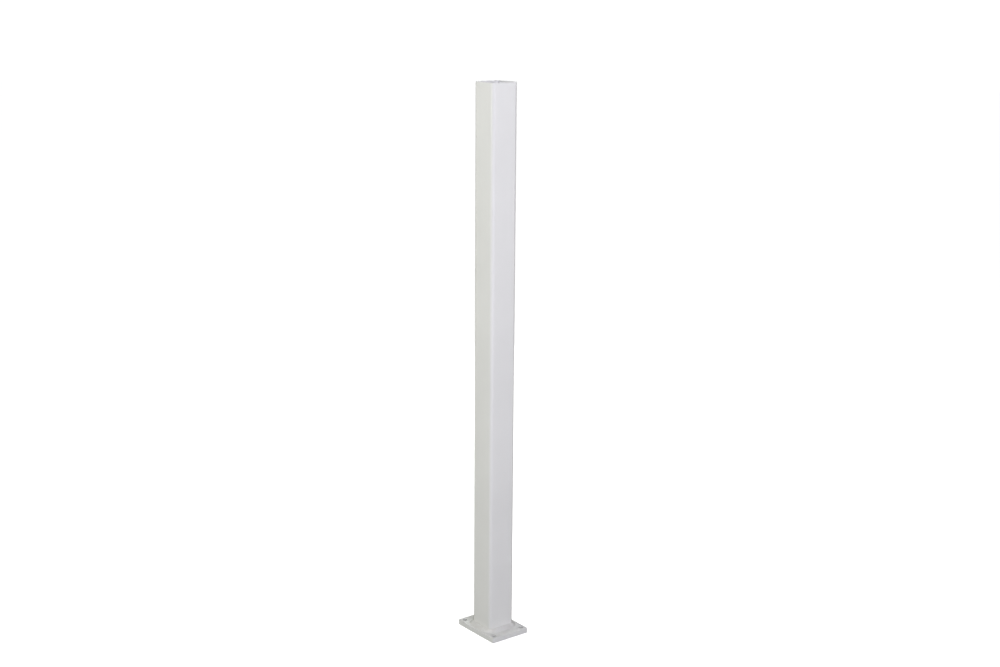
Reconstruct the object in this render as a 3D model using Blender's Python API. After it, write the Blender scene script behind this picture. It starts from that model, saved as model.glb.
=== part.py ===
"""A welded metal newel post: a square hollow tube on a bolted base plate, white powder coat."""

import math

import bmesh
import bpy

# Square tube, in metres. The height is of the whole post, from the plate's underside to the rim.
POST_HEIGHT = 0.9525
TUBE_WIDTH = 0.0508
TUBE_WALL = 0.0030
TUBE_CORNER_RADIUS = 0.006
RIM_ROUND = 0.0004

# Base plate, with a bolt hole near each corner. Its long side lies along Y.
PLATE_WIDTH = 0.0762
PLATE_LENGTH = 0.1016
PLATE_THICKNESS = 0.0095
PLATE_CORNER_RADIUS = 0.0025
PLATE_EDGE_ROUND = 0.0008
BOLT_HOLE_DIAMETER = 0.0079
BOLT_HOLE_INSET = 0.0085
BOLT_HOLE_CHAMFER = 0.0004

# Fillet weld round the tube's foot: its height on the tube, its reach over the plate, its crown.
WELD_HEIGHT = 0.0050
WELD_REACH = 0.0090
WELD_CROWN = 0.0004

# Faces that meet are left this far apart.
SEAT_GAP = 0.0003

# How finely the round parts are divided.
CORNER_STEPS = 6
SMALL_CORNER_STEPS = 4
EDGE_STEPS = 2
HOLE_SIDES = 32
WELD_FACE_STEPS = 5

COAT_WHITE = (0.80, 0.80, 0.79)
COAT_ROUGHNESS = 0.38
WELD_ROUGHNESS = 0.45


def clear_scene():
    for obj in list(bpy.data.objects):
        bpy.data.objects.remove(obj, do_unlink=True)


def coat_material(name, roughness):
    """White powder coat. The metal under it doesn't show, so it isn't metallic."""
    material = bpy.data.materials.new(name)
    material.use_nodes = True
    shader = material.node_tree.nodes["Principled BSDF"]
    shader.inputs["Base Color"].default_value = (*COAT_WHITE, 1.0)
    shader.inputs["Roughness"].default_value = roughness
    shader.inputs["Metallic"].default_value = 0.0
    return material


def mesh_object(name, bm, material, sharp_angle=math.radians(30)):
    """Closes a bmesh into an object with its faces pointing out and its round stretches smooth."""
    bmesh.ops.recalc_face_normals(bm, faces=bm.faces)
    mesh = bpy.data.meshes.new(name)
    bm.to_mesh(mesh)
    bm.free()
    mesh.shade_smooth()
    mesh.set_sharp_from_angle(angle=sharp_angle)
    obj = bpy.data.objects.new(name, mesh)
    bpy.context.scene.collection.objects.link(obj)
    if material is not None:
        mesh.materials.append(material)
    return obj


def rounded_rectangle(half_x, half_y, radius, steps):
    """The points of a rectangle with rounded corners, anticlockwise, each corner an arc."""
    points = []
    for corner, (side_x, side_y) in enumerate(((1, 1), (-1, 1), (-1, -1), (1, -1))):
        centre_x = side_x * (half_x - radius)
        centre_y = side_y * (half_y - radius)
        for step in range(steps + 1):
            angle = math.radians(90) * (corner + step / steps)
            points.append((centre_x + radius * math.cos(angle), centre_y + radius * math.sin(angle)))
    return points


def add_ring(bm, outline, z):
    return [bm.verts.new((x, y, z)) for x, y in outline]


def join_rings(bm, lower, upper):
    count = len(lower)
    for index in range(count):
        after = (index + 1) % count
        bm.faces.new((lower[index], lower[after], upper[after], upper[index]))


def horizontal_edges(faces, z):
    """The edges at height z that bound the given faces on their upright sides."""
    found = set()
    for face in faces:
        for edge in face.edges:
            level = all(abs(vert.co.z - z) < 1e-6 for vert in edge.verts)
            upright = any(abs(other.normal.z) < 0.5 for other in edge.link_faces)
            if level and upright:
                found.add(edge)
    return list(found)


def round_level_edges(bm, z, radius, steps):
    """Rounds every edge where the flat face at height z turns down or up into an upright one."""
    bm.normal_update()
    flat = [face for face in bm.faces if all(abs(vert.co.z - z) < 1e-6 for vert in face.verts)]
    bmesh.ops.bevel(
        bm,
        geom=horizontal_edges(flat, z),
        offset=radius,
        segments=steps,
        profile=0.5,
        affect="EDGES",
        clamp_overlap=True,
    )


def build_post_tube(material):
    """The square tube: an outer and an inner wall, joined by a ring-shaped face at each end.

    Where the weld has bitten into it, the foot of the outer wall is set back by the seat gap.
    """
    half = TUBE_WIDTH / 2
    bite_half = half - SEAT_GAP
    bore_half = half - TUBE_WALL
    bore_radius = max(TUBE_CORNER_RADIUS - TUBE_WALL, TUBE_WALL / 4)
    outer = rounded_rectangle(half, half, TUBE_CORNER_RADIUS, CORNER_STEPS)
    bitten = rounded_rectangle(bite_half, bite_half, TUBE_CORNER_RADIUS - SEAT_GAP, CORNER_STEPS)
    inner = rounded_rectangle(bore_half, bore_half, bore_radius, CORNER_STEPS)
    foot = PLATE_THICKNESS + SEAT_GAP
    weld_line = PLATE_THICKNESS + WELD_HEIGHT + SEAT_GAP

    bm = bmesh.new()
    rings = [
        add_ring(bm, bitten, foot),
        add_ring(bm, bitten, weld_line),
        add_ring(bm, outer, weld_line),
        add_ring(bm, outer, POST_HEIGHT),
        add_ring(bm, inner, POST_HEIGHT),
        add_ring(bm, inner, foot),
    ]
    for lower, upper in zip(rings, rings[1:] + rings[:1]):
        join_rings(bm, lower, upper)
    bmesh.ops.recalc_face_normals(bm, faces=bm.faces)
    round_level_edges(bm, POST_HEIGHT, min(RIM_ROUND, TUBE_WALL / 3), EDGE_STEPS)
    return mesh_object("post_tube", bm, material)


def hole_cutter(name, x, y):
    """A turned cutter for one bolt hole, flared at both faces of the plate to break the edge."""
    overshoot = BOLT_HOLE_DIAMETER / 2
    radius = BOLT_HOLE_DIAMETER / 2
    flare = BOLT_HOLE_CHAMFER
    stations = (
        (-overshoot, radius + flare + overshoot),
        (flare, radius),
        (PLATE_THICKNESS - flare, radius),
        (PLATE_THICKNESS + overshoot, radius + flare + overshoot),
    )
    bm = bmesh.new()
    rings = []
    for z, ring_radius in stations:
        made = bmesh.ops.create_circle(bm, cap_ends=False, segments=HOLE_SIDES, radius=ring_radius)
        for vert in made["verts"]:
            vert.co.z = z
        rings.append(made["verts"])
    for lower, upper in zip(rings, rings[1:]):
        join_rings(bm, lower, upper)
    bm.faces.new(rings[0])
    bm.faces.new(rings[-1])
    cutter = mesh_object(name, bm, None)
    cutter.location = (x, y, 0)
    cutter.hide_render = True
    cutter.display_type = "WIRE"
    return cutter


def build_base_plate(material):
    """The flat plate, its edges rounded over, with a bolt hole cut near each corner."""
    outline = rounded_rectangle(
        PLATE_WIDTH / 2, PLATE_LENGTH / 2, PLATE_CORNER_RADIUS, SMALL_CORNER_STEPS
    )
    bm = bmesh.new()
    lower = add_ring(bm, outline, 0)
    upper = add_ring(bm, outline, PLATE_THICKNESS)
    join_rings(bm, lower, upper)
    bm.faces.new(lower)
    bm.faces.new(upper)
    bmesh.ops.recalc_face_normals(bm, faces=bm.faces)
    edge_round = min(PLATE_EDGE_ROUND, PLATE_THICKNESS / 3)
    round_level_edges(bm, PLATE_THICKNESS, edge_round, EDGE_STEPS)
    round_level_edges(bm, 0, edge_round, EDGE_STEPS)
    plate = mesh_object("base_plate", bm, material)

    hole_x = PLATE_WIDTH / 2 - BOLT_HOLE_INSET
    hole_y = PLATE_LENGTH / 2 - BOLT_HOLE_INSET
    for side_x in (-1, 1):
        for side_y in (-1, 1):
            across = "left" if side_x < 0 else "right"
            along = "front" if side_y < 0 else "back"
            name = f"bolt_hole_cutter_{across}_{along}"
            cut = plate.modifiers.new(name, "BOOLEAN")
            cut.operation = "DIFFERENCE"
            cut.object = hole_cutter(name, side_x * hole_x, side_y * hole_y)
    return plate


def weld_section():
    """The weld's section as (distance out from the tube's face, height) points, in order round it."""
    seat = PLATE_THICKNESS + SEAT_GAP
    top = (0, PLATE_THICKNESS + WELD_HEIGHT)
    toe = (WELD_REACH, seat)
    length = math.hypot(toe[0] - top[0], toe[1] - top[1])
    out_x = (top[1] - toe[1]) / length
    out_z = (toe[0] - top[0]) / length
    section = [(0, seat), toe]
    for step in range(1, WELD_FACE_STEPS):
        share = step / WELD_FACE_STEPS
        crown = WELD_CROWN * math.sin(math.pi * share)
        section.append(
            (
                toe[0] + (top[0] - toe[0]) * share + out_x * crown,
                toe[1] + (top[1] - toe[1]) * share + out_z * crown,
            )
        )
    section.append(top)
    return section


def build_foot_weld(material):
    """The weld's section carried round the tube's outline, its corners turning with the tube's."""
    half = TUBE_WIDTH / 2
    bm = bmesh.new()
    rings = []
    for distance, z in weld_section():
        outline = rounded_rectangle(
            half + distance, half + distance, TUBE_CORNER_RADIUS + distance, CORNER_STEPS
        )
        rings.append(add_ring(bm, outline, z))
    for lower, upper in zip(rings, rings[1:] + rings[:1]):
        join_rings(bm, lower, upper)
    return mesh_object("foot_weld", bm, material)


def main():
    clear_scene()
    coat = coat_material("white_powder_coat", COAT_ROUGHNESS)
    weld_coat = coat_material("coated_weld", WELD_ROUGHNESS)
    build_base_plate(coat)
    build_post_tube(coat)
    build_foot_weld(weld_coat)


main()
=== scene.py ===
"""Finish and studio for a welded newel post: white powder coat on a square tube, plate and weld."""

import math

import bmesh
import bpy
from bpy.props import FloatProperty, FloatVectorProperty, PointerProperty
from mathutils import Matrix, Vector


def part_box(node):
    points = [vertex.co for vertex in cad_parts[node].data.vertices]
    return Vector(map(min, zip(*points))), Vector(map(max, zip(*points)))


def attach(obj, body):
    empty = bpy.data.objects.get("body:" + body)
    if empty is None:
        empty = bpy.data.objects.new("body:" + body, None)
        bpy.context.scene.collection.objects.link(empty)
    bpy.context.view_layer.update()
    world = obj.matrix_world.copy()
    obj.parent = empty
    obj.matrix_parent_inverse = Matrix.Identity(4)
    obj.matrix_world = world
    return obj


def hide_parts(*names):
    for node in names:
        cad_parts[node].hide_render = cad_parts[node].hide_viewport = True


bl_info = {
    "name": "Newel Post",
    "version": (1, 0, 0),
    "blender": (4, 5, 0),
    "location": "View3D > Sidebar > Newel Post",
    "description": "Builds a welded square-tube newel post with its powder coat, and a studio round it",
    "category": "Add Mesh",
}

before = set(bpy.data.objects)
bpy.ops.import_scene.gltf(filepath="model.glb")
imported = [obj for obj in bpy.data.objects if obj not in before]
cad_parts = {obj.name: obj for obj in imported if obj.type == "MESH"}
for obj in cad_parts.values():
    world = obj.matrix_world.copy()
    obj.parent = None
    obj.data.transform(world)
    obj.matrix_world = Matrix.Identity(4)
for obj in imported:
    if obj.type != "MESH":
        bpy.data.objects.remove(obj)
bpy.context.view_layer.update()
TUBE_LOW, TUBE_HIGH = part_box("post_tube")
PLATE_LOW, PLATE_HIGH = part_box("base_plate")
WELD_LOW, WELD_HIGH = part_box("foot_weld")

BODY = "root"
QUARTER_TURN = math.radians(90)

# How finely the pieces are divided.
CORNER_STEPS = 12
TUBE_SIDE_STEPS = 28
TUBE_COURSES = 48
RIM_STEPS = 4
PLATE_EDGE_STEPS = 4
HOLE_SIDES = 56
BEAD_STEPS_ALONG = 640
BEAD_STEPS_ACROSS = 30

# Points closer than this are merged, and an edge that turns by more than the angle stays sharp.
MERGE_DISTANCE = 2e-6
SHARP_ANGLE = math.radians(35)


# The kinds of setting that the panel shows.

def length_setting(name, description, default):
    return FloatProperty(name=name, description=description, default=default, unit="LENGTH")


def number_setting(name, description, default, least=0.0):
    return FloatProperty(name=name, description=description, default=default, min=least)


def share_setting(name, description, default, least=0.0, most=1.0):
    return FloatProperty(name=name, description=description, default=default, min=least, max=most)


def angle_setting(name, description, degrees):
    turn = math.radians(degrees)
    return FloatProperty(name=name, description=description, default=turn, subtype="ANGLE")


def colour_setting(name, description, default):
    return FloatVectorProperty(
        name=name, description=description, default=default, subtype="COLOR", size=3, min=0.0, max=1.0
    )


class NewelPostSizes(bpy.types.PropertyGroup):
    """Sizes of the post's pieces, in metres."""

    post_height: length_setting(
        "Post Height", "From the plate's underside to the tube's rim", TUBE_HIGH.z
    )
    tube_width: length_setting(
        "Tube Width", "Across the tube's outer faces", TUBE_HIGH.x - TUBE_LOW.x
    )
    tube_wall: length_setting("Tube Wall", "Thickness of the tube's wall", 0.0030)
    tube_corner_radius: length_setting(
        "Tube Corner Radius", "Outer radius of the tube's long corners", 0.006
    )
    tube_face_hollow: length_setting(
        "Face Hollow", "How far the middle of a rolled face lies below its corners", 0.00008
    )
    rim_round: length_setting(
        "Rim Round", "Radius left on the sawn rim by deburring and coating", 0.0006
    )
    seam_height: length_setting(
        "Seam Height", "How far the tube's own seam stands up inside the bore", 0.0005
    )
    seam_width: length_setting("Seam Width", "Width of the tube's own seam inside the bore", 0.0022)
    plate_width: length_setting(
        "Plate Width", "Short side of the base plate", PLATE_HIGH.x - PLATE_LOW.x
    )
    plate_length: length_setting(
        "Plate Length", "Long side of the base plate", PLATE_HIGH.y - PLATE_LOW.y
    )
    plate_thickness: length_setting(
        "Plate Thickness", "Thickness of the base plate", PLATE_HIGH.z - PLATE_LOW.z
    )
    plate_corner_radius: length_setting(
        "Plate Corner Radius", "Radius of the plate's upright corners", 0.0025
    )
    plate_edge_round: length_setting(
        "Plate Edge Round", "Radius of the plate's long edges under the coat", 0.0009
    )
    bolt_hole_diameter: length_setting("Bolt Hole Diameter", "Diameter of each bolt hole", 0.0079)
    bolt_hole_inset: length_setting(
        "Bolt Hole Inset", "From a hole's centre to each of the plate's two nearest sides", 0.0085
    )
    bolt_hole_round: length_setting("Bolt Hole Round", "Radius at the mouths of the bolt holes", 0.0005)
    weld_height: length_setting(
        "Weld Height", "How far the weld climbs the tube", WELD_HIGH.z - PLATE_HIGH.z
    )
    weld_reach: length_setting(
        "Weld Reach", "How far the weld runs out over the plate",
        (WELD_HIGH.x - WELD_LOW.x - TUBE_HIGH.x + TUBE_LOW.x) / 2,
    )
    weld_fullness: share_setting(
        "Weld Fullness", "Bulge of the bead's face: 0.56 is flat in its middle, more is convex",
        0.56, least=0.2,
    )
    weld_corner_loss: share_setting(
        "Weld Corner Loss", "Share of its reach by which the bead narrows from a face to a corner",
        0.36, most=0.6,
    )
    weld_unevenness: share_setting(
        "Weld Unevenness", "Share by which the bead's legs grow and shrink along it", 0.10, most=0.5
    )
    ripple_pitch: length_setting("Ripple Pitch", "From one ripple of the bead to the next", 0.0026)
    ripple_depth: length_setting("Ripple Depth", "Depth of the bead's ripples under the coat", 0.00018)


class NewelPostFinish(bpy.types.PropertyGroup):
    """Colours and surface of the powder coat."""

    coat_colour: colour_setting("Coat Colour", "Colour of the powder coat", (0.80, 0.80, 0.79))
    coat_roughness: share_setting("Coat Roughness", "Roughness of the satin coat", 0.38)
    peel_size: length_setting(
        "Peel Size", "Distance between the dimples of the coat's orange peel", 0.0021
    )
    peel_depth: length_setting("Peel Depth", "Depth of the coat's orange peel", 0.00005)
    bare_steel: colour_setting(
        "Bare Steel", "Colour of the uncoated steel deep in the bore", (0.22, 0.215, 0.21)
    )
    dust_colour: colour_setting(
        "Dust Colour", "Colour of the thin dust on upward faces", (0.60, 0.585, 0.55)
    )
    dust_amount: share_setting("Dust Amount", "How much dust lies on upward faces", 0.16)
    overspray_depth: length_setting(
        "Overspray Depth", "How far down the bore the coat reaches before it thins out", 0.11
    )


class NewelPostStudio(bpy.types.PropertyGroup):
    """Camera, floor and lights."""

    camera_azimuth: angle_setting(
        "Camera Azimuth", "Turn of the camera round the post, 0 looking along +Y", -37.464
    )
    camera_distance: length_setting(
        "Camera Distance", "Level distance from the post's axis to the camera", 2.474
    )
    camera_height: length_setting("Camera Height", "Height of the camera above the floor", 1.125)
    camera_tilt: angle_setting("Camera Tilt", "How far the camera looks down", 13.434)
    camera_pan: angle_setting(
        "Camera Pan", "How far the camera looks to the right of the post's axis", 0.210
    )
    camera_roll: angle_setting("Camera Roll", "Turn of the camera about its own view", 0.416)
    focal_length: number_setting(
        "Focal Length", "Focal length on a 36 mm wide sensor, in millimetres", 54.52, least=1.0
    )
    light_level: number_setting("Light Level", "Strength of every studio light together", 1.0)
    room_light: number_setting("Room Light", "Strength of the even light from the studio's walls", 0.01)
    floor_glow: number_setting(
        "Floor Glow", "How far the floor is lifted towards white where the camera sees it", 1.0
    )
    floor_radius: length_setting("Floor Radius", "Radius of the round floor", 14.0)


class NodeGraph:
    """Adds nodes to a tree in columns. An input is given as a value or as the socket that feeds it."""

    COLUMN = 210
    ROW = 190
    ROWS = 6

    def __init__(self, tree):
        self.tree = tree

    def give(self, socket, value):
        if isinstance(value, bpy.types.NodeSocket):
            self.tree.links.new(value, socket)
        else:
            socket.default_value = value

    def node(self, kind, inputs=None, **settings):
        place = len(self.tree.nodes)
        node = self.tree.nodes.new(kind)
        node.location = (self.COLUMN * (place // self.ROWS), -self.ROW * (place % self.ROWS))
        for name, value in settings.items():
            setattr(node, name, value)
        for key, value in (inputs or {}).items():
            self.give(node.inputs[key], value)
        return node

    def math(self, operation, *values, clamp=False):
        made = self.node("ShaderNodeMath", dict(enumerate(values)), operation=operation, use_clamp=clamp)
        return made.outputs[0]

    def vector(self, operation, *values):
        made = self.node("ShaderNodeVectorMath", dict(enumerate(values)), operation=operation)
        return made.outputs["Value" if operation in ("DOT_PRODUCT", "LENGTH") else "Vector"]

    def scale(self, vector, factor):
        made = self.node("ShaderNodeVectorMath", {0: vector, "Scale": factor}, operation="SCALE")
        return made.outputs["Vector"]

    def split(self, vector):
        """The vector's sockets X, Y and Z."""
        return self.node("ShaderNodeSeparateXYZ", {0: vector}).outputs

    def facing_up(self):
        """1 where the surface looks straight up, 0 where it is upright and -1 on its underside."""
        return self.split(self.node("ShaderNodeNewGeometry").outputs["Normal"])["Z"]

    def drawn_out(self, vector, share):
        """Coordinates that draw a pattern out upwards, the more the smaller the share."""
        inputs = {"Vector": vector, "Scale": (1.0, 1.0, share)}
        return self.node("ShaderNodeMapping", inputs).outputs[0]

    def ramp(self, value, low, high, to_low=0.0, to_high=1.0):
        """Value carried smoothly from low to high."""
        inputs = {"Value": value, "From Min": low, "From Max": high, "To Min": to_low, "To Max": to_high}
        return self.node("ShaderNodeMapRange", inputs, interpolation_type="SMOOTHSTEP").outputs["Result"]

    def noise(self, vector, size, detail=2.0, roughness=0.5):
        """Noise whose lumps are about size metres apart."""
        inputs = {"Vector": vector, "Scale": 1.0, "Detail": detail, "Roughness": roughness}
        if isinstance(size, bpy.types.NodeSocket):
            inputs["Scale"] = self.math("DIVIDE", 1.0, size)
        else:
            inputs["Scale"] = 1.0 / size
        return self.node("ShaderNodeTexNoise", inputs).outputs["Fac"]

    def blend(self, factor, first, second):
        """Colour first where factor is 0 and second where it is 1."""
        made = self.node("ShaderNodeMix", {"Factor": factor}, data_type="RGBA")
        colours = [socket for socket in made.inputs if socket.type == "RGBA"]
        for socket, value in zip(colours, (first, second)):
            self.give(socket, value if isinstance(value, bpy.types.NodeSocket) else (*value, 1.0))
        return next(socket for socket in made.outputs if socket.type == "RGBA")

    def camera_sees(self, camera_shader, other_shader):
        """The first shader to the camera and the second to every other ray. Each is given as its node."""
        rays = self.node("ShaderNodeLightPath").outputs["Is Camera Ray"]
        inputs = {0: rays, 1: other_shader.outputs[0], 2: camera_shader.outputs[0]}
        return self.node("ShaderNodeMixShader", inputs).outputs[0]


def new_group(name, kind, inputs, outputs):
    """A node group with its sockets. Returns its graph and the socket lists at both ends."""
    tree = bpy.data.node_groups.new(name, kind)
    for socket_name, socket_type, default in inputs:
        socket = tree.interface.new_socket(socket_name, in_out="INPUT", socket_type=socket_type)
        if default is not None:
            socket.default_value = default
    for socket_name, socket_type in outputs:
        tree.interface.new_socket(socket_name, in_out="OUTPUT", socket_type=socket_type)
    graph = NodeGraph(tree)
    entry = graph.node("NodeGroupInput")
    leave = graph.node("NodeGroupOutput")
    return graph, entry.outputs, leave.inputs


def link_new(name, data):
    """A new object in the scene."""
    made = bpy.data.objects.new(name, data)
    bpy.context.scene.collection.objects.link(made)
    return made


def plain_mesh(piece):
    """Replaces the piece's mesh by what its modifiers make of it, and removes them."""
    bpy.context.view_layer.update()
    depsgraph = bpy.context.evaluated_depsgraph_get()
    made = bpy.data.meshes.new_from_object(piece.evaluated_get(depsgraph), depsgraph=depsgraph)
    made.name = piece.name
    piece.modifiers.clear()
    piece.data = made
    return piece


def mesh_piece(name, bm, material):
    """A smooth-shaded piece at the origin, its flats kept flat by weighted normals."""
    bmesh.ops.remove_doubles(bm, verts=bm.verts, dist=MERGE_DISTANCE)
    bmesh.ops.recalc_face_normals(bm, faces=bm.faces)
    mesh = bpy.data.meshes.new(name)
    bm.to_mesh(mesh)
    bm.free()
    mesh.shade_smooth()
    mesh.set_sharp_from_angle(angle=SHARP_ANGLE)
    mesh.materials.append(material)
    piece = link_new(name, mesh)
    weighted = piece.modifiers.new("flat_faces_stay_flat", "WEIGHTED_NORMAL")
    weighted.keep_sharp = True
    return plain_mesh(piece)


def hand_over(piece, node):
    """The piece, if it is a closed solid, rides on the post and stands for its CAD node."""
    bm = bmesh.new()
    bm.from_mesh(piece.data)
    faces = len(bm.faces)
    open_edges = sum(len(edge.link_faces) != 2 for edge in bm.edges)
    bm.free()
    if faces == 0 or open_edges:
        raise RuntimeError(f"{piece.name} isn't a closed solid: {faces} faces, {open_edges} open edges")
    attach(piece, BODY)
    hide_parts(node)


def outline(half_x, half_y, radius, corner_steps, side_steps=1, hollow=0.0, ridge=None):
    """Points of a rounded rectangle, anticlockwise from its +X side.

    hollow draws the middle of each side in. ridge, a height and a width, raises a seam inwards on +Y.
    """
    points = []
    corners = ((1, 1), (-1, 1), (-1, -1), (1, -1))
    for corner, (side_x, side_y) in enumerate(corners):
        centre = Vector((side_x * (half_x - radius), side_y * (half_y - radius)))
        for step in range(corner_steps + 1):
            angle = QUARTER_TURN * (corner + step / corner_steps)
            points.append(centre + Vector((math.cos(angle), math.sin(angle))) * radius)
        start = points[-1].copy()
        next_x, next_y = corners[(corner + 1) % len(corners)]
        turn = QUARTER_TURN * (corner + 1)
        outward = Vector((math.cos(turn), math.sin(turn)))
        end = Vector((next_x * (half_x - radius), next_y * (half_y - radius))) + outward * radius
        for step in range(1, side_steps):
            share = step / side_steps
            inset = hollow * math.sin(math.pi * share)
            if ridge and corner == 0:
                away = (share - 0.5) * (end - start).length / (ridge[1] / 2)
                inset += ridge[0] * math.exp(-away * away)
            points.append(start.lerp(end, share) - outward * inset)
    return points


def ring_at(bm, points, z):
    return [bm.verts.new((x, y, z)) for x, y in points]


def loft(bm, rings):
    """Faces between each ring and the next. A ring is a list of vertices round the piece."""
    for lower, upper in zip(rings, rings[1:]):
        count = len(lower)
        for index in range(count):
            after = (index + 1) % count
            bm.faces.new((lower[index], lower[after], upper[after], upper[index]))


def quarter_round(steps):
    """(inward, upward) shares of a quarter circle that leaves an upright side and ends level."""
    for step in range(steps + 1):
        angle = QUARTER_TURN * step / steps
        yield 1 - math.cos(angle), math.sin(angle)


def build_tube(sizes, material):
    """The tube: outer walls from the plate up, over the rounded rim, and down the bore."""
    half = sizes.tube_width / 2
    seat = sizes.plate_thickness
    bore_half = half - sizes.tube_wall
    bore_radius = sizes.tube_corner_radius - sizes.tube_wall
    rim = sizes.rim_round
    seam = (sizes.seam_height, sizes.seam_width)
    bm = bmesh.new()

    def outer_ring(inset, z):
        points = outline(
            half - inset, half - inset, sizes.tube_corner_radius - inset,
            CORNER_STEPS, TUBE_SIDE_STEPS, hollow=sizes.tube_face_hollow,
        )
        return ring_at(bm, points, z)

    def bore_ring(growth, z):
        points = outline(
            bore_half + growth, bore_half + growth, bore_radius + growth,
            CORNER_STEPS, TUBE_SIDE_STEPS, ridge=seam,
        )
        return ring_at(bm, points, z)

    shoulder = sizes.post_height - rim
    course = (shoulder - seat) / TUBE_COURSES
    rings = [outer_ring(0.0, seat + course * step) for step in range(TUBE_COURSES)]
    over_rim = [(rim * inward, shoulder + rim * upward) for inward, upward in quarter_round(RIM_STEPS)]
    rings += [outer_ring(inset, z) for inset, z in over_rim]
    rings += [bore_ring(growth, z) for growth, z in reversed(over_rim)]
    rings += [bore_ring(0.0, shoulder - course * step) for step in range(1, TUBE_COURSES + 1)]
    rings.append(rings[0])
    loft(bm, rings)
    return mesh_piece("square_tube", bm, material)


def plate_flat(bm, boundary_rings):
    """Fills the level face between the plate's outline and its holes."""
    edges = []
    for ring in boundary_rings:
        for index, vert in enumerate(ring):
            edges.append(bm.edges.get((vert, ring[(index + 1) % len(ring)])))
    bmesh.ops.triangle_fill(bm, use_beauty=True, use_dissolve=False, edges=edges)


def build_plate(sizes, material):
    """The plate: rounded sides lofted from underside to top, four holes, and the two flats between."""
    thickness = sizes.plate_thickness
    hole_radius = sizes.bolt_hole_diameter / 2
    bm = bmesh.new()

    def side_ring(inset, z):
        points = outline(
            sizes.plate_width / 2 - inset, sizes.plate_length / 2 - inset,
            sizes.plate_corner_radius - inset, CORNER_STEPS,
        )
        return ring_at(bm, points, z)

    def hole_ring(centre, growth, z):
        turns = (2 * math.pi * step / HOLE_SIDES for step in range(HOLE_SIDES))
        radius = hole_radius + growth
        points = [centre + Vector((math.cos(turn), math.sin(turn))) * radius for turn in turns]
        return ring_at(bm, points, z)

    def rounded_wall(make_ring, rounding):
        """Rings from the underside's flat, round the lower edge, up, and round the upper edge."""
        upper = [
            make_ring(rounding * inward, thickness - rounding + rounding * upward)
            for inward, upward in quarter_round(PLATE_EDGE_STEPS)
        ]
        lower = [
            make_ring(rounding * inward, rounding - rounding * upward)
            for inward, upward in quarter_round(PLATE_EDGE_STEPS)
        ]
        return lower[::-1] + upper

    walls = [rounded_wall(side_ring, sizes.plate_edge_round)]
    for side_x in (-1, 1):
        for side_y in (-1, 1):
            centre = Vector((
                side_x * (sizes.plate_width / 2 - sizes.bolt_hole_inset),
                side_y * (sizes.plate_length / 2 - sizes.bolt_hole_inset),
            ))
            walls.append(rounded_wall(
                lambda growth, z, at=centre: hole_ring(at, growth, z), sizes.bolt_hole_round
            ))
    for rings in walls:
        loft(bm, rings)
    plate_flat(bm, [rings[0] for rings in walls])
    plate_flat(bm, [rings[-1] for rings in walls])
    return mesh_piece("base_plate_coated", bm, material)


# Of the steps across the bead, this share is its face. The rest are its hidden legs on the metal.
FACE_SHARE = 0.86

# Second and fourth values of the face's Bezier curve: how slowly it lifts off the metal at a toe.
TOE_LIFT = 0.07
TOE_PULL = 0.84

# The bead is sunk into its corner by this much, so that its ripples stay within its size.
WELD_SINK = 0.00012

# The shorter over the longer of a place's X and Y, where a face starts to turn and at the corner.
CORNER_ONSET = (0.35, 1.0)

# Swellings along the bead, and places in their noise that are far enough apart to be unlike.
LUMP_SIZE = 0.013
REACH_PLACE = 0.0
HEIGHT_PLACE = 0.21
WANDER_PLACE = 0.4
BEAD_SEED = 3.0

# Ripples: how far they bow and wander along the bead, in ripple pitches.
RIPPLE_BOW = 1.1
RIPPLE_WANDER = 0.55


def weld_inputs(sizes, material):
    """Name, type and value of each input of the weld's node group."""
    return (
        ("Tube Width", "NodeSocketFloat", sizes.tube_width),
        ("Corner Radius", "NodeSocketFloat", sizes.tube_corner_radius),
        ("Plate Top", "NodeSocketFloat", sizes.plate_thickness),
        ("Height", "NodeSocketFloat", sizes.weld_height),
        ("Reach", "NodeSocketFloat", sizes.weld_reach),
        ("Fullness", "NodeSocketFloat", sizes.weld_fullness),
        ("Corner Loss", "NodeSocketFloat", sizes.weld_corner_loss),
        ("Unevenness", "NodeSocketFloat", sizes.weld_unevenness),
        ("Ripple Pitch", "NodeSocketFloat", sizes.ripple_pitch),
        ("Ripple Depth", "NodeSocketFloat", sizes.ripple_depth),
        ("Steps Along", "NodeSocketInt", BEAD_STEPS_ALONG),
        ("Steps Across", "NodeSocketInt", BEAD_STEPS_ACROSS),
        ("Seed", "NodeSocketFloat", BEAD_SEED),
        ("Material", "NodeSocketMaterial", material),
    )


def bead_section_group():
    """Share of a weld leg at a place across the bead, as a Bezier curve of the fourth degree."""
    graph, given, result = new_group(
        "Bead Section", "GeometryNodeTree",
        (("Across", "NodeSocketFloat", 0.5), ("Fullness", "NodeSocketFloat", 0.55)),
        (("Share", "NodeSocketFloat"),),
    )
    across = given["Across"]
    left = graph.math("SUBTRACT", 1.0, across)
    near = graph.math("POWER", across, 4.0)
    toe = graph.math("MULTIPLY", graph.math("POWER", across, 3.0), left)
    toe = graph.math("MULTIPLY", toe, 4.0 * TOE_PULL)
    middle = graph.math("POWER", graph.math("MULTIPLY", across, left), 2.0)
    middle = graph.math("MULTIPLY", graph.math("MULTIPLY", middle, 6.0), given["Fullness"])
    start = graph.math("MULTIPLY", graph.math("POWER", left, 3.0), across)
    start = graph.math("MULTIPLY", start, 4.0 * TOE_LIFT)
    share = graph.math("ADD", graph.math("ADD", near, toe), graph.math("ADD", middle, start))
    graph.give(result["Share"], share)
    return graph.tree


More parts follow.
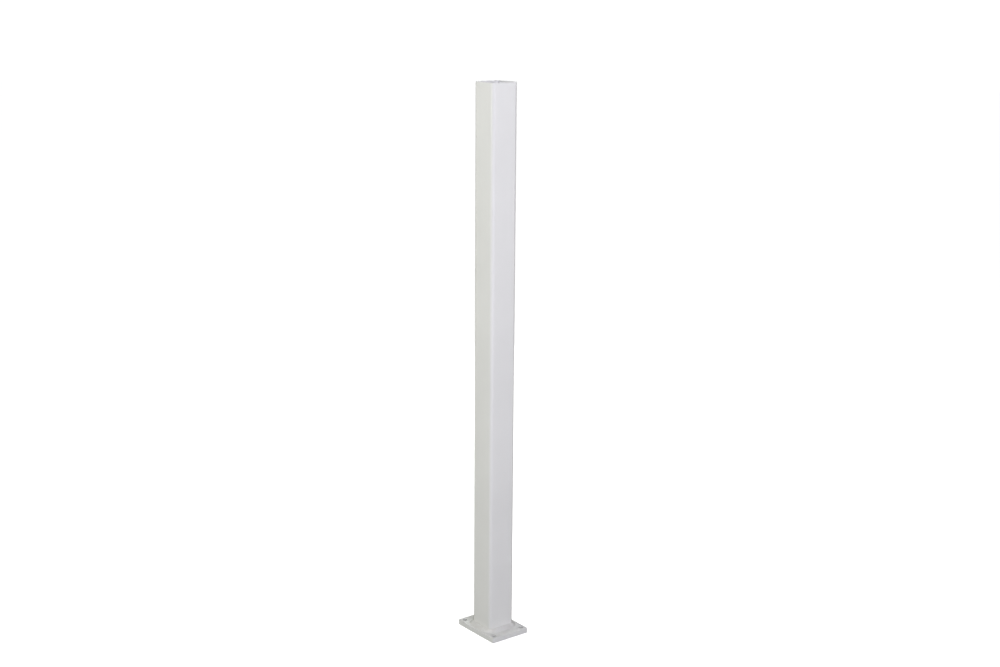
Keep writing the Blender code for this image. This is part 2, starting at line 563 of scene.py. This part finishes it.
def weld_tree(inputs):
    """Geometry nodes: a bead that follows the tube's outline, with ripples, closed along and across."""
    graph, given, result = new_group(
        "Fillet Weld Round A Tube", "GeometryNodeTree", inputs, (("Geometry", "NodeSocketGeometry"),)
    )
    section = bead_section_group()

    # The path is the tube's own outline.
    square = graph.node(
        "GeometryNodeCurvePrimitiveQuadrilateral",
        {"Width": given["Tube Width"], "Height": given["Tube Width"]},
    )
    rounding = {"Curve": square.outputs[0], "Radius": given["Corner Radius"], "Count": CORNER_STEPS}
    path = graph.node("GeometryNodeFilletCurve", rounding, mode="POLY").outputs[0]
    length = graph.node("GeometryNodeCurveLength", {"Curve": path}).outputs[0]

    # A unit grid carries the place along the bead in X and across it in Y.
    grid = graph.node("GeometryNodeMeshGrid", {
        "Vertices X": given["Steps Along"],
        "Vertices Y": given["Steps Across"],
    })
    place = graph.split(graph.node("GeometryNodeInputPosition").outputs[0])
    along = graph.math("ADD", place["X"], 0.5)
    across = graph.math("ADD", place["Y"], 0.5)
    face = graph.math("DIVIDE", across, FACE_SHARE, clamp=True)
    leg_share = (1 - FACE_SHARE) / 2
    past_face = graph.math("SUBTRACT", across, FACE_SHARE)
    down_leg = graph.math("DIVIDE", past_face, leg_share, clamp=True)
    past_down_leg = graph.math("SUBTRACT", across, FACE_SHARE + leg_share)
    out_leg = graph.math("DIVIDE", past_down_leg, leg_share, clamp=True)

    sample = graph.node("GeometryNodeSampleCurve", {"Curves": path, "Factor": along}, mode="FACTOR")
    spot = sample.outputs["Position"]
    up = (0.0, 0.0, 1.0)
    outward = graph.vector("NORMALIZE", graph.vector("CROSS_PRODUCT", sample.outputs["Tangent"], up))
    side = graph.math("SIGN", graph.vector("DOT_PRODUCT", outward, spot))
    outward = graph.scale(outward, side)

    # The legs swell and shrink along the bead.
    def lumps(offset, size):
        moved = graph.vector("ADD", spot, (offset, 0.0, offset))
        settings = {"Vector": moved, "W": given["Seed"], "Scale": 1.0 / size, "Detail": 1.0}
        noise = graph.node("ShaderNodeTexNoise", settings, noise_dimensions="4D").outputs[0]
        return graph.math("SUBTRACT", noise, 0.5)

    def leg(size, offset):
        swing = graph.math("MULTIPLY", lumps(offset, LUMP_SIZE), given["Unevenness"])
        return graph.math("MULTIPLY", size, graph.math("MULTIPLY_ADD", swing, 2.0, 1.0))

    reach = leg(given["Reach"], REACH_PLACE)
    height = leg(given["Height"], HEIGHT_PLACE)

    # The bead is at its widest along the faces and pinched where it turns a corner.
    sides = graph.split(graph.vector("ABSOLUTE", spot))
    shorter = graph.math("MINIMUM", sides["X"], sides["Y"])
    longer = graph.math("MAXIMUM", sides["X"], sides["Y"])
    turning = graph.ramp(graph.math("DIVIDE", shorter, longer), *CORNER_ONSET)
    pinch = graph.math("MULTIPLY", graph.math("SUBTRACT", turning, 0.5), given["Corner Loss"])
    reach = graph.math("MULTIPLY", reach, graph.math("SUBTRACT", 1.0, pinch))

    def share(across_face):
        settings = {"Across": across_face, "Fullness": given["Fullness"]}
        return graph.node("GeometryNodeGroup", settings, node_tree=section).outputs["Share"]

    out_share = graph.math("ADD", share(graph.math("SUBTRACT", 1.0, face)), out_leg)
    up_share = graph.math("MULTIPLY", share(face), graph.math("SUBTRACT", 1.0, down_leg))

    # Ripples are bowed rounds with a sharp valley between, fading out at both toes.
    count = graph.math("ROUND", graph.math("DIVIDE", length, given["Ripple Pitch"]))
    bow = graph.math("POWER", graph.math("MULTIPLY_ADD", face, 2.0, -1.0), 2.0)
    wander = graph.math("MULTIPLY", lumps(WANDER_PLACE, LUMP_SIZE / 2), RIPPLE_WANDER * 2)
    phase = graph.math("MULTIPLY_ADD", bow, RIPPLE_BOW, graph.math("MULTIPLY", along, count))
    phase = graph.math("ADD", phase, wander)
    crest = graph.math("ABSOLUTE", graph.math("SINE", graph.math("MULTIPLY", phase, math.pi)))
    fade = graph.math("SINE", graph.math("MULTIPLY", face, math.pi))
    ripple = graph.math("MULTIPLY", graph.math("MULTIPLY", crest, fade), given["Ripple Depth"])

    slope = graph.math("MULTIPLY", face, QUARTER_TURN)
    ripple_out = graph.math("MULTIPLY", ripple, graph.math("SINE", slope))
    ripple_up = graph.math("MULTIPLY", ripple, graph.math("COSINE", slope))
    out_by = graph.math("MULTIPLY_ADD", reach, out_share, ripple_out)
    up_by = graph.math("MULTIPLY_ADD", height, up_share, ripple_up)
    out_by = graph.math("SUBTRACT", out_by, WELD_SINK)
    up_by = graph.math("ADD", graph.math("SUBTRACT", up_by, WELD_SINK), given["Plate Top"])
    rise = graph.node("ShaderNodeCombineXYZ", {"Z": up_by}).outputs[0]
    target = graph.vector("ADD", graph.vector("ADD", spot, graph.scale(outward, out_by)), rise)

    # The grid is laid there, closed, smoothed, made real and coated.
    geometry = grid.outputs["Mesh"]
    for kind, settings in (
        ("GeometryNodeSetPosition", {"Position": target}),
        ("GeometryNodeMergeByDistance", {"Distance": MERGE_DISTANCE}),
        ("GeometryNodeSetShadeSmooth", {}),
        ("GeometryNodeRealizeInstances", {}),
        ("GeometryNodeSetMaterial", {"Material": given["Material"]}),
    ):
        geometry = graph.node(kind, {"Geometry": geometry, **settings}).outputs[0]
    graph.give(result["Geometry"], geometry)
    return graph.tree


def build_weld(sizes, material):
    """The bead, made by its geometry nodes and then turned into a plain closed mesh facing out."""
    inputs = weld_inputs(sizes, material)
    values = {name: value for name, _, value in inputs}
    piece = link_new("foot_weld_bead", bpy.data.meshes.new("foot_weld_bead"))
    modifier = piece.modifiers.new("fillet_weld", "NODES")
    modifier.node_group = weld_tree(inputs)
    for item in modifier.node_group.interface.items_tree:
        if item.in_out == "INPUT":
            modifier[item.identifier] = values[item.name]
    plain_mesh(piece)
    bm = bmesh.new()
    bm.from_mesh(piece.data)
    bmesh.ops.recalc_face_normals(bm, faces=bm.faces)
    bm.to_mesh(piece.data)
    bm.free()
    return piece


# The coat's skin. Sizes of the finer parts are shares of the peel's and the drift's own.
FINE_PEEL_SIZE = 0.31
FINE_PEEL_SHARE = 0.28
NIBS_PER_METRE = 55.0
NIB_EDGE = (0.018, 0.034)
NIB_HEIGHT = 0.9
TONE_RANGE = (0.3, 0.7)
GLOSS_PATCH_SIZE = 0.33
GLOSS_RANGE = (0.3, 0.72)


def coat_skin_group():
    """Orange peel, nibs and slow drifts of tone, as every coated surface has them."""
    graph, given, result = new_group(
        "Powder Coat Skin", "ShaderNodeTree",
        (
            ("Coordinates", "NodeSocketVector", None),
            ("Peel Size", "NodeSocketFloat", 0.002),
            ("Drift Size", "NodeSocketFloat", 0.12),
        ),
        (("Height", "NodeSocketFloat"), ("Tone", "NodeSocketFloat"), ("Gloss Drift", "NodeSocketFloat")),
    )
    where = given["Coordinates"]
    peel = graph.noise(where, given["Peel Size"], detail=1.5)
    fine_size = graph.math("MULTIPLY", given["Peel Size"], FINE_PEEL_SIZE)
    fine = graph.noise(where, fine_size, detail=1.0)
    cells = graph.node("ShaderNodeTexVoronoi", {"Vector": where, "Scale": NIBS_PER_METRE})
    nib = graph.ramp(cells.outputs["Distance"], *NIB_EDGE, 1.0, 0.0)
    coarse = graph.math("MULTIPLY", peel, 1 - FINE_PEEL_SHARE)
    height = graph.math("MULTIPLY_ADD", fine, FINE_PEEL_SHARE, coarse)
    graph.give(result["Height"], graph.math("MULTIPLY_ADD", nib, NIB_HEIGHT, height))
    drift = graph.noise(where, given["Drift Size"], detail=3.0, roughness=0.55)
    graph.give(result["Tone"], graph.ramp(drift, *TONE_RANGE))
    patch = graph.math("MULTIPLY", given["Drift Size"], GLOSS_PATCH_SIZE)
    gloss = graph.noise(where, patch, detail=4.0, roughness=0.6)
    graph.give(result["Gloss Drift"], graph.ramp(gloss, *GLOSS_RANGE))
    return graph.tree


# How far in from a corner its dulling and painted shade reach, in corner radii.
CORNER_MASK_REACH = 1.2


def corner_dulling_and_shade_group():
    """Mask that is 1 along the upright corners, where the coat is a little rougher and painted a little
    darker: painted shade that dims the corners' highlight.
    """
    graph, given, result = new_group(
        "Corner Dulling And Shade", "ShaderNodeTree",
        (
            ("Coordinates", "NodeSocketVector", None),
            ("Half Width", "NodeSocketFloat", 0.0254),
            ("Half Length", "NodeSocketFloat", 0.0254),
            ("Radius", "NodeSocketFloat", 0.004),
        ),
        (("Mask", "NodeSocketFloat"),),
    )
    place = graph.split(given["Coordinates"])
    near = []
    for axis, half in (("X", "Half Width"), ("Y", "Half Length")):
        away = graph.math("SUBTRACT", given[half], graph.math("ABSOLUTE", place[axis]))
        near.append(graph.ramp(away, 0.0, graph.math("MULTIPLY", given["Radius"], CORNER_MASK_REACH), 1.0, 0.0))
    graph.give(result["Mask"], graph.math("MULTIPLY", *near))
    return graph.tree


# Dust: the slope that holds it, its patches, how thin it gets between them, and how it dulls the coat.
DUST_FACING = (0.35, 0.95)
DUST_PATCH = 0.017
DUST_RANGE = (0.32, 0.72)
DUST_LEAST = 0.25
DUST_ROUGHNESS = 0.4


def settled_dust_group():
    """Mask of thin dust on faces that look up, gathered in patches."""
    graph, given, result = new_group(
        "Settled Dust", "ShaderNodeTree",
        (("Coordinates", "NodeSocketVector", None), ("Amount", "NodeSocketFloat", 0.1)),
        (("Mask", "NodeSocketFloat"),),
    )
    facing = graph.facing_up()
    patches = graph.noise(given["Coordinates"], DUST_PATCH, detail=5.0, roughness=0.62)
    gathered = graph.ramp(patches, *DUST_RANGE, DUST_LEAST, 1.0)
    mask = graph.math("MULTIPLY", graph.ramp(facing, *DUST_FACING), gathered)
    graph.give(result["Mask"], graph.math("MULTIPLY", mask, given["Amount"], clamp=True))
    return graph.tree


# Rubs: the width of a streak, how it is drawn out, and the size of the places that have any.
RUB_WIDTH = 0.0013
RUB_DRAWN_OUT = 0.09
RUB_RANGE = (0.62, 0.74)
RUBBED_PLACE = 0.055
RUBBED_RANGE = (0.56, 0.70)


def rub_mark_group():
    """Faint greyish rubs from handling: short thin streaks, scattered in places only."""
    graph, given, result = new_group(
        "Rub Marks", "ShaderNodeTree",
        (("Coordinates", "NodeSocketVector", None), ("Amount", "NodeSocketFloat", 0.5)),
        (("Mask", "NodeSocketFloat"),),
    )
    drawn = graph.drawn_out(given["Coordinates"], RUB_DRAWN_OUT)
    streaks = graph.noise(drawn, RUB_WIDTH, detail=3.0, roughness=0.6)
    places = graph.noise(given["Coordinates"], RUBBED_PLACE, detail=2.0)
    mask = graph.math("MULTIPLY", graph.ramp(streaks, *RUB_RANGE), graph.ramp(places, *RUBBED_RANGE))
    graph.give(result["Mask"], graph.math("MULTIPLY", mask, given["Amount"], clamp=True))
    return graph.tree


# Colours of the painted shade's grey, of the painted light in the bore, of the painted shade on corners,
# of the coat where rubbed, and of steel.
SHADE_GREY_COAT = (0.70, 0.70, 0.69)
BORE_LIGHT_COAT = (0.91, 0.91, 0.90)
CORNER_SHADE_COAT = (0.77, 0.77, 0.765)
TUBE_RUB = (0.70, 0.70, 0.69)
PLATE_RUB = (0.68, 0.68, 0.665)
STEEL_GRAIN = (0.30, 0.295, 0.29)

# How far the coat's colour goes over to the painted shade's grey, place by place.
FOOT_SHADE = 0.4
HOLE_SHADE = 0.4
WELD_SHADE = 0.4
FLAT_SHADE = 0.6
SIDE_SHADE = 0.35

# How far up the tube from the weld its painted shade reaches.
FOOT_REACH = 0.035

# How level a surface of the plate is where it stops being a side, and where it is a flat.
SIDE_TO_FLAT = (0.2, 0.7)

# Where the coat gives way to steel: in overspray depths, its ragged edge, and the steel's speckle.
OVERSPRAY_SPAN = (0.45, 1.25)
RAGGED_SIZE = 0.011
RAGGED_REACH = 0.05
SPECKLE_SIZE = 0.0009
SPECKLE_RANGE = (0.35, 0.65)
SPECKLE_LEAST = 0.75
STEEL_METALLIC = 0.75

# How much rougher than the satin coat each of these is.
ROUGHER_CORNER = 0.05
ROUGHER_STEEL = 0.14
ROUGHER_PLATE = 0.03
ROUGHER_WELD = 0.02

# Rolling lines on the tube and cut lines on the plate's sides: width, how drawn out, and depth.
ROLLED_LINE = 0.0032
ROLLED_DRAWN_OUT = 0.004
ROLLED_DEPTH = 0.000035
CUT_LINE = 0.0011
CUT_DRAWN_OUT = 0.12
CUT_DEPTH = 0.00007


class CoatMaterial:
    """A powder-coated material in the making: its graph, its shader and the groups it draws on."""

    def __init__(self, name, finish, groups):
        self.material = bpy.data.materials.new(name)
        self.material.use_nodes = True
        tree = self.material.node_tree
        tree.nodes.clear()
        self.finish = finish
        self.groups = groups
        self.graph = NodeGraph(tree)
        self.where = self.graph.node("ShaderNodeTexCoord").outputs["Object"]
        self.shader = self.graph.node("ShaderNodeBsdfPrincipled")
        self.graph.node("ShaderNodeOutputMaterial", {"Surface": self.shader.outputs[0]})

    def group(self, name, **values):
        """Outputs of a shared group, its inputs given by their names in small letters."""
        inputs = {"Coordinates": self.where}
        inputs.update({key.replace("_", " ").title(): value for key, value in values.items()})
        return self.graph.node("ShaderNodeGroup", inputs, node_tree=self.groups[name]).outputs

    def feed(self, name, socket):
        self.graph.give(self.shader.inputs[name], socket)

    def bump(self, height, depth, under=None):
        inputs = {"Height": height, "Distance": depth}
        if under is not None:
            inputs["Normal"] = under
        return self.graph.node("ShaderNodeBump", inputs).outputs["Normal"]

    def toned_coat(self, skin, spread=0.03):
        """The coat's colour, drifting a little either way."""
        colour = Vector(self.finish.coat_colour)
        low = tuple(colour * (1 - spread))
        high = tuple(min(1.0, part) for part in colour * (1 + spread / 2))
        return self.graph.blend(skin["Tone"], low, high)

    def satin(self, skin, dust, swing=0.10):
        """The coat's roughness, drifting a little either way, and duller under dust."""
        base = self.finish.coat_roughness
        drift = self.graph.ramp(skin["Gloss Drift"], 0.0, 1.0, base - swing / 2, base + swing / 2)
        return self.graph.math("MULTIPLY_ADD", dust["Mask"], DUST_ROUGHNESS, drift)


def tube_material(sizes, finish, groups):
    """White satin coat that fades inside the bore, through thin overspray, to bare steel."""
    coat = CoatMaterial("white_coat_on_tube", finish, groups)
    graph = coat.graph
    skin = coat.group("Powder Coat Skin", peel_size=finish.peel_size, drift_size=0.16)
    half = sizes.tube_width / 2
    dulling_and_shade = coat.group("Corner Dulling And Shade", half_width=half, half_length=half, radius=sizes.tube_corner_radius)
    dust = coat.group("Settled Dust", amount=finish.dust_amount)
    rubs = coat.group("Rub Marks", amount=0.35)

    colour = coat.toned_coat(skin)
    # Painted shade: the upright corners are a little darker, dimming their highlight.
    colour = graph.blend(graph.math("MULTIPLY", dulling_and_shade["Mask"], 0.5), colour, CORNER_SHADE_COAT)
    colour = graph.blend(rubs["Mask"], colour, TUBE_RUB)
    colour = graph.blend(dust["Mask"], colour, tuple(finish.dust_colour))

    # Painted shade: the coat is greyer just over the weld, in the corner where the tube meets it.
    place = graph.split(coat.where)
    weld_top = sizes.plate_thickness + sizes.weld_height
    shade_at_foot = graph.ramp(place["Z"], weld_top, weld_top + FOOT_REACH, FOOT_SHADE, 0.0)
    colour = graph.blend(shade_at_foot, colour, SHADE_GREY_COAT)

    # Inside, the coat is painted a lighter white, as painted light in the bore. With depth down the bore,
    # broken up by noise, it gives way to overspray and the overspray to steel.
    outer_skin = half - sizes.tube_wall + sizes.rim_round
    across = graph.math("MAXIMUM", *(graph.math("ABSOLUTE", place[axis]) for axis in "XY"))
    in_bore = graph.math("LESS_THAN", across, outer_skin)
    colour = graph.blend(in_bore, colour, BORE_LIGHT_COAT)
    depth = graph.math("SUBTRACT", sizes.post_height, place["Z"])
    lumps = graph.noise(coat.where, RAGGED_SIZE, detail=5.0)
    ragged = graph.math("MULTIPLY_ADD", lumps, RAGGED_REACH, depth)
    bare = graph.ramp(ragged, *(finish.overspray_depth * share for share in OVERSPRAY_SPAN))
    bare = graph.math("MULTIPLY", bare, in_bore)
    grain = graph.noise(coat.where, SPECKLE_SIZE, detail=2.0)
    speckle = graph.ramp(grain, *SPECKLE_RANGE, SPECKLE_LEAST, 1.0)
    steel = graph.blend(speckle, STEEL_GRAIN, tuple(finish.bare_steel))
    coat.feed("Base Color", graph.blend(bare, colour, steel))
    rough = graph.math("MULTIPLY_ADD", dulling_and_shade["Mask"], ROUGHER_CORNER, coat.satin(skin, dust))
    coat.feed("Roughness", graph.math("MULTIPLY_ADD", bare, ROUGHER_STEEL, rough, clamp=True))
    coat.feed("Metallic", graph.math("MULTIPLY", bare, STEEL_METALLIC))

    # Rolling lines of the steel tell faintly through the coat, under its peel.
    drawn = graph.drawn_out(coat.where, ROLLED_DRAWN_OUT)
    rolled = coat.bump(graph.noise(drawn, ROLLED_LINE, detail=3.0, roughness=0.55), ROLLED_DEPTH)
    coat.feed("Normal", coat.bump(skin["Height"], finish.peel_depth, rolled))
    return coat.material


def plate_material(sizes, finish, groups):
    """White satin coat on the plate: cut lines tell through on its sides, and it is rubbed and dusty.
    Painted shade greys its flats, bolt holes and corners, and its thicker dust is partly painted shade on
    its top.
    """
    coat = CoatMaterial("white_coat_on_plate", finish, groups)
    graph = coat.graph
    half_width = sizes.plate_width / 2
    half_length = sizes.plate_length / 2
    skin = coat.group("Powder Coat Skin", peel_size=finish.peel_size * 0.9, drift_size=0.05)
    dulling_and_shade = coat.group(
        "Corner Dulling And Shade",
        half_width=half_width,
        half_length=half_length,
        radius=sizes.plate_corner_radius,
    )
    # Dust laid thicker than on the tube: partly dust, partly painted shade that darkens the plate's top.
    dust = coat.group("Settled Dust", amount=finish.dust_amount * 2.5)
    rubs = coat.group("Rub Marks", amount=0.55)

    colour = coat.toned_coat(skin, spread=0.04)
    # Painted shade: the plate's upright corners are a little darker, dimming their highlight.
    colour = graph.blend(graph.math("MULTIPLY", dulling_and_shade["Mask"], 0.4), colour, CORNER_SHADE_COAT)
    colour = graph.blend(rubs["Mask"], colour, PLATE_RUB)
    colour = graph.blend(dust["Mask"], colour, tuple(finish.dust_colour))

    # Painted shade: the coat is greyer on the flats, less so on the sides, and down the bolt holes.
    upright = graph.ramp(graph.math("ABSOLUTE", graph.facing_up()), *SIDE_TO_FLAT, 1.0, 0.0)
    plate_shade = graph.math("MULTIPLY_ADD", upright, SIDE_SHADE - FLAT_SHADE, FLAT_SHADE)
    colour = graph.blend(plate_shade, colour, SHADE_GREY_COAT)
    # Painted shade down the bolt holes.
    inset = sizes.bolt_hole_inset
    hole_centre = (half_width - inset, half_length - inset, 0.0)
    away = graph.vector("SUBTRACT", graph.vector("ABSOLUTE", coat.where), hole_centre)
    from_hole = graph.vector("LENGTH", graph.vector("MULTIPLY", away, (1.0, 1.0, 0.0)))
    hole_edge = sizes.bolt_hole_diameter / 2
    shade_in_hole = graph.ramp(from_hole, hole_edge, hole_edge + sizes.bolt_hole_round, HOLE_SHADE, 0.0)
    coat.feed("Base Color", graph.blend(shade_in_hole, colour, SHADE_GREY_COAT))
    rough = coat.satin(skin, dust, swing=0.12)
    coat.feed("Roughness", graph.math("ADD", rough, ROUGHER_PLATE, clamp=True))

    # The upright sides keep soft lines from cutting, close together and nearly plumb.
    drawn = graph.drawn_out(coat.where, CUT_DRAWN_OUT)
    lines = graph.math("MULTIPLY", graph.noise(drawn, CUT_LINE, detail=2.0), upright)
    cut = coat.bump(lines, CUT_DEPTH)
    coat.feed("Normal", coat.bump(skin["Height"], finish.peel_depth, cut))
    return coat.material


def weld_material(finish, groups):
    """White coat over the weld: greyer by painted shade, and dustier than the rest, its dust partly
    painted shade.
    """
    coat = CoatMaterial("white_coat_on_weld", finish, groups)
    graph = coat.graph
    skin = coat.group("Powder Coat Skin", peel_size=finish.peel_size * 0.7, drift_size=0.02)
    # Dust laid thicker than on the tube: partly dust, partly painted shade on the weld's upward faces.
    dust = coat.group("Settled Dust", amount=finish.dust_amount * 4)
    # Painted shade: the whole weld is greyer.
    colour = graph.blend(WELD_SHADE, coat.toned_coat(skin, spread=0.05), SHADE_GREY_COAT)
    coat.feed("Base Color", graph.blend(dust["Mask"], colour, tuple(finish.dust_colour)))
    rough = coat.satin(skin, dust, swing=0.14)
    coat.feed("Roughness", graph.math("ADD", rough, ROUGHER_WELD, clamp=True))
    coat.feed("Normal", coat.bump(skin["Height"], finish.peel_depth * 1.2))
    return coat.material


def shared_groups():
    """The node groups that the materials share, each built once."""
    makers = {
        "Powder Coat Skin": coat_skin_group,
        "Corner Dulling And Shade": corner_dulling_and_shade_group,
        "Settled Dust": settled_dust_group,
        "Rub Marks": rub_mark_group,
    }
    return {name: bpy.data.node_groups.get(name) or make() for name, make in makers.items()}


SENSOR_WIDTH = 36.0
CLIP_NEAR = 0.05
CLIP_FAR = 100.0
WHITE = (1.0, 1.0, 1.0, 1.0)

# The floor's colour to the light it throws back, and to the camera, which also sees its glow.
FLOOR_GREY = (0.42, 0.42, 0.42, 1.0)
FLOOR_SEEN = (0.8, 0.8, 0.8, 1.0)
FLOOR_SIDES = 96

# Strength of the white walls where the camera sees them.
WALLS_SEEN = 1.05

# Soft boxes: name, azimuth in degrees, height, level distance, width, tall, power in watts, colour.
SOFT_BOXES = (
    ("left_box", -120.0, 0.8, 1.9, 1.0, 1.0, 15.6, (0.99, 1.0, 0.85)),
    ("right_box", 22.0, 0.8, 1.9, 1.0, 1.0, 10.6, (1.0, 0.99, 0.95)),
    ("high_front_box", -37.0, 1.55, 1.2, 0.8, 0.8, 11.4, (0.92, 0.90, 1.0)),
    ("low_front_box", -37.0, 0.35, 1.3, 0.8, 0.5, 5.5, (0.92, 0.92, 1.0)),
    ("high_left_box", -120.0, 1.55, 1.2, 0.8, 0.8, 1.1, (0.87, 1.0, 0.71)),
    ("high_right_box", 22.0, 1.55, 1.2, 0.8, 0.8, 1.2, (0.72, 0.81, 1.0)),
    ("back_box", 140.0, 0.8, 2.0, 1.2, 1.2, 12.0, (0.97, 1.0, 0.95)),
    ("top_box", 0.0, 1.45, 0.0, 0.5, 0.5, 1.4, (1.0, 1.0, 1.0)),
)

# Every box is turned to this height on the post's axis.
AIM_HEIGHT = 0.5


def place_camera(studio):
    camera = link_new("camera", bpy.data.cameras.new("camera"))
    camera.data.lens = studio.focal_length
    camera.data.sensor_width = SENSOR_WIDTH
    camera.data.sensor_fit = "HORIZONTAL"
    camera.data.clip_start = CLIP_NEAR
    camera.data.clip_end = CLIP_FAR
    azimuth = studio.camera_azimuth
    turn = (
        Matrix.Rotation(azimuth - studio.camera_pan, 4, "Z")
        @ Matrix.Rotation(QUARTER_TURN - studio.camera_tilt, 4, "X")
        @ Matrix.Rotation(studio.camera_roll, 4, "Z")
    )
    stand = Vector((
        studio.camera_distance * math.sin(azimuth),
        -studio.camera_distance * math.cos(azimuth),
        studio.camera_height,
    ))
    camera.matrix_world = Matrix.Translation(stand) @ turn
    bpy.context.scene.camera = camera


def place_soft_box(name, azimuth, height, distance, width, tall, power, colour, level):
    """A soft box, lit at level times its power. The camera doesn't see it."""
    light = bpy.data.lights.new(name, "AREA")
    light.shape = "RECTANGLE"
    light.size = width
    light.size_y = tall
    light.energy = power * level
    light.color = colour
    box = link_new(name, light)
    box.visible_camera = False
    angle = math.radians(azimuth)
    spot = Vector((distance * math.sin(angle), -distance * math.cos(angle), height))
    aim = Vector((0.0, 0.0, AIM_HEIGHT)) - spot
    box.matrix_world = Matrix.Translation(spot) @ aim.to_track_quat("-Z", "Y").to_matrix().to_4x4()


def floor_material(studio):
    """Pale floor, lifted to white where the camera looks straight at it, so that it meets the wall."""
    material = bpy.data.materials.new("pale_floor")
    material.use_nodes = True
    material.node_tree.nodes.clear()
    graph = NodeGraph(material.node_tree)
    matte = graph.node("ShaderNodeBsdfDiffuse", {"Color": FLOOR_GREY})
    seen_matte = graph.node("ShaderNodeBsdfDiffuse", {"Color": FLOOR_SEEN})
    glow = graph.node("ShaderNodeEmission", {"Color": WHITE, "Strength": studio.floor_glow})
    seen = graph.node("ShaderNodeAddShader", {0: seen_matte.outputs[0], 1: glow.outputs[0]})
    graph.node("ShaderNodeOutputMaterial", {"Surface": graph.camera_sees(seen, matte)})
    return material


def lay_floor(studio):
    bm = bmesh.new()
    bmesh.ops.create_circle(bm, cap_ends=True, segments=FLOOR_SIDES, radius=studio.floor_radius)
    mesh = bpy.data.meshes.new("studio_floor")
    bm.to_mesh(mesh)
    bm.free()
    mesh.materials.append(floor_material(studio))
    link_new("studio_floor", mesh)


def light_the_room(studio):
    """White walls to the camera, and a softer even light from them on the post."""
    world = bpy.data.worlds.new("studio_room")
    bpy.context.scene.world = world
    world.use_nodes = True
    world.node_tree.nodes.clear()
    graph = NodeGraph(world.node_tree)
    walls = graph.node("ShaderNodeBackground", {"Color": WHITE, "Strength": studio.room_light})
    seen = graph.node("ShaderNodeBackground", {"Color": WHITE, "Strength": WALLS_SEEN})
    graph.node("ShaderNodeOutputWorld", {"Surface": graph.camera_sees(seen, walls)})


class NEWEL_OT_square_tube(bpy.types.Operator):
    """Build the hollow square tube, open at the top, and coat it"""

    bl_idname = "newel.square_tube"
    bl_label = "Square Tube"

    def execute(self, context):
        scene = context.scene
        material = tube_material(scene.newel_sizes, scene.newel_finish, shared_groups())
        tube = build_tube(scene.newel_sizes, material)
        hand_over(tube, "post_tube")
        return {"FINISHED"}


class NEWEL_OT_base_plate(bpy.types.Operator):
    """Build the base plate with its bolt holes, and coat it"""

    bl_idname = "newel.base_plate"
    bl_label = "Base Plate"

    def execute(self, context):
        scene = context.scene
        material = plate_material(scene.newel_sizes, scene.newel_finish, shared_groups())
        plate = build_plate(scene.newel_sizes, material)
        hand_over(plate, "base_plate")
        return {"FINISHED"}


class NEWEL_OT_foot_weld(bpy.types.Operator):
    """Lay the fillet weld round the tube's foot, and coat it"""

    bl_idname = "newel.foot_weld"
    bl_label = "Foot Weld"

    def execute(self, context):
        scene = context.scene
        material = weld_material(scene.newel_finish, shared_groups())
        weld = build_weld(scene.newel_sizes, material)
        hand_over(weld, "foot_weld")
        return {"FINISHED"}


class NEWEL_OT_studio(bpy.types.Operator):
    """Set up the pale floor, the soft lights and the camera"""

    bl_idname = "newel.studio"
    bl_label = "Studio"

    def execute(self, context):
        studio = context.scene.newel_studio
        context.scene.view_settings.view_transform = "Standard"
        lay_floor(studio)
        light_the_room(studio)
        for soft_box in SOFT_BOXES:
            place_soft_box(*soft_box, studio.light_level)
        place_camera(studio)
        return {"FINISHED"}


class NEWEL_PT_panel(bpy.types.Panel):
    """Sizes, finish and steps of the newel post"""

    bl_idname = "NEWEL_PT_panel"
    bl_label = "Newel Post"
    bl_space_type = "VIEW_3D"
    bl_region_type = "UI"
    bl_category = "Newel Post"

    def draw(self, context):
        scene = context.scene
        for title, group in (
            ("Sizes", scene.newel_sizes),
            ("Finish", scene.newel_finish),
            ("Studio", scene.newel_studio),
        ):
            box = self.layout.box()
            box.label(text=title)
            for name in group.__annotations__:
                box.prop(group, name)
        for operator in OPERATORS:
            self.layout.operator(operator.bl_idname)


OPERATORS = (NEWEL_OT_square_tube, NEWEL_OT_base_plate, NEWEL_OT_foot_weld, NEWEL_OT_studio)
CLASSES = (NewelPostSizes, NewelPostFinish, NewelPostStudio, *OPERATORS, NEWEL_PT_panel)


def register():
    for cls in CLASSES:
        bpy.utils.register_class(cls)
    bpy.types.Scene.newel_sizes = PointerProperty(type=NewelPostSizes)
    bpy.types.Scene.newel_finish = PointerProperty(type=NewelPostFinish)
    bpy.types.Scene.newel_studio = PointerProperty(type=NewelPostStudio)


def unregister():
    del bpy.types.Scene.newel_studio
    del bpy.types.Scene.newel_finish
    del bpy.types.Scene.newel_sizes
    for cls in reversed(CLASSES):
        bpy.utils.unregister_class(cls)


def main():
    register()
    bpy.ops.newel.square_tube()
    bpy.ops.newel.base_plate()
    bpy.ops.newel.foot_weld()
    bpy.ops.newel.studio()


if __name__ == "__main__":
    main()
